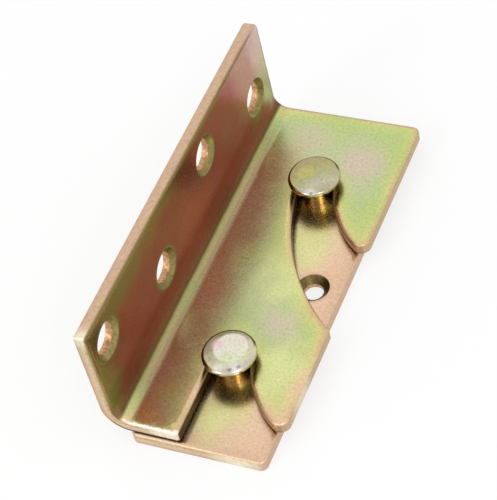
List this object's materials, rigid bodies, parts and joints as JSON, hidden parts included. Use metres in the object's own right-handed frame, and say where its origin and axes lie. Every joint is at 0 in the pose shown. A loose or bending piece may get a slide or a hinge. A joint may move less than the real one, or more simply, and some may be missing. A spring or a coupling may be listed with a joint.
{
  "type": "bed rail fastener",
  "caption": "Bed rail fastener: a folded hook plate with curved slots drops over headed studs on a flat post plate.",
  "frame": {"origin": "centre of the post plate's back face", "axes": "+Z out of the bed post, towards the stud heads; +Y up the post, the way the hook plate lifts; the rail flange stands on the -X side"},
  "size_m": [0.045, 0.1107, 0.0386],
  "materials": {
    "post_zinc": "yellow passivated zinc, satin, with green and pink tints",
    "stud_zinc": "pale yellow passivated zinc, turned and satin",
    "hook_zinc": "yellow passivated zinc, satin, with green, pink and brown tints"
  },
  "bodies": {
    "post": {"post_plate": "post_zinc", "upper_stud": "stud_zinc", "lower_stud": "stud_zinc"},
    "hook": {"hook_plate": "hook_zinc"}
  },
  "joints": [
    {"name": "hook_slide", "type": "slide", "parent": "post", "child": "hook", "axis": [-0.342, 0.9397, 0], "range_m": [0, 0.029]}
  ]
}
